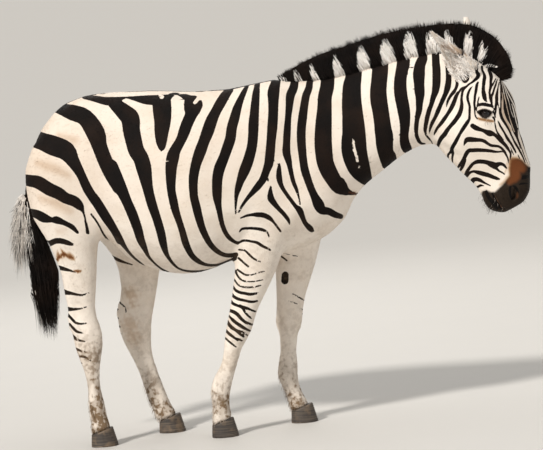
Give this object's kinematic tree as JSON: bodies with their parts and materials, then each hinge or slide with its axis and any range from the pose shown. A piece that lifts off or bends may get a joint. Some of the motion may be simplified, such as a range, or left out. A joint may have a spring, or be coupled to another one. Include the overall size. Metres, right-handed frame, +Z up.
{
  "type": "zebra",
  "caption": "Life-size still model of a plains zebra standing square on its hooves with its head lowered, striped coat, upright mane, ears turned back.",
  "frame": {"origin": "on the floor, midway along the animal's length and on its plane of symmetry; the soles of the hooves lie at z = 0", "axes": "+X towards the head, +Y towards the animal's left side, +Z up"},
  "size_m": [1.9718, 0.5744, 1.4999],
  "materials": {
    "coat": "short smooth hair in black and cream stripes, dark brown bare skin on the muzzle",
    "mane_hair": "stiff upright hair, black with cream bands",
    "tail_hair": "long coarse hair, greyish cream above and black below",
    "hoof_horn": "worn dark horn with dried mud",
    "eye": "wet gloss, dark brown"
  },
  "bodies": {
    "root": {"trunk": "coat", "neck": "coat", "head": "coat", "ear_right": "coat", "ear_left": "coat", "foreleg_right": "coat", "foreleg_left": "coat", "fore_shank_right": "coat", "fore_shank_left": "coat", "hindleg_right": "coat", "hindleg_left": "coat", "hind_shank_right": "coat", "hind_shank_left": "coat", "tail": "coat", "mane": "mane_hair", "tail_hair": "tail_hair", "hoof_fore_right": "hoof_horn", "hoof_fore_left": "hoof_horn", "hoof_hind_right": "hoof_horn", "hoof_hind_left": "hoof_horn", "eye_right": "eye", "eye_left": "eye"}
  },
  "joints": []
}
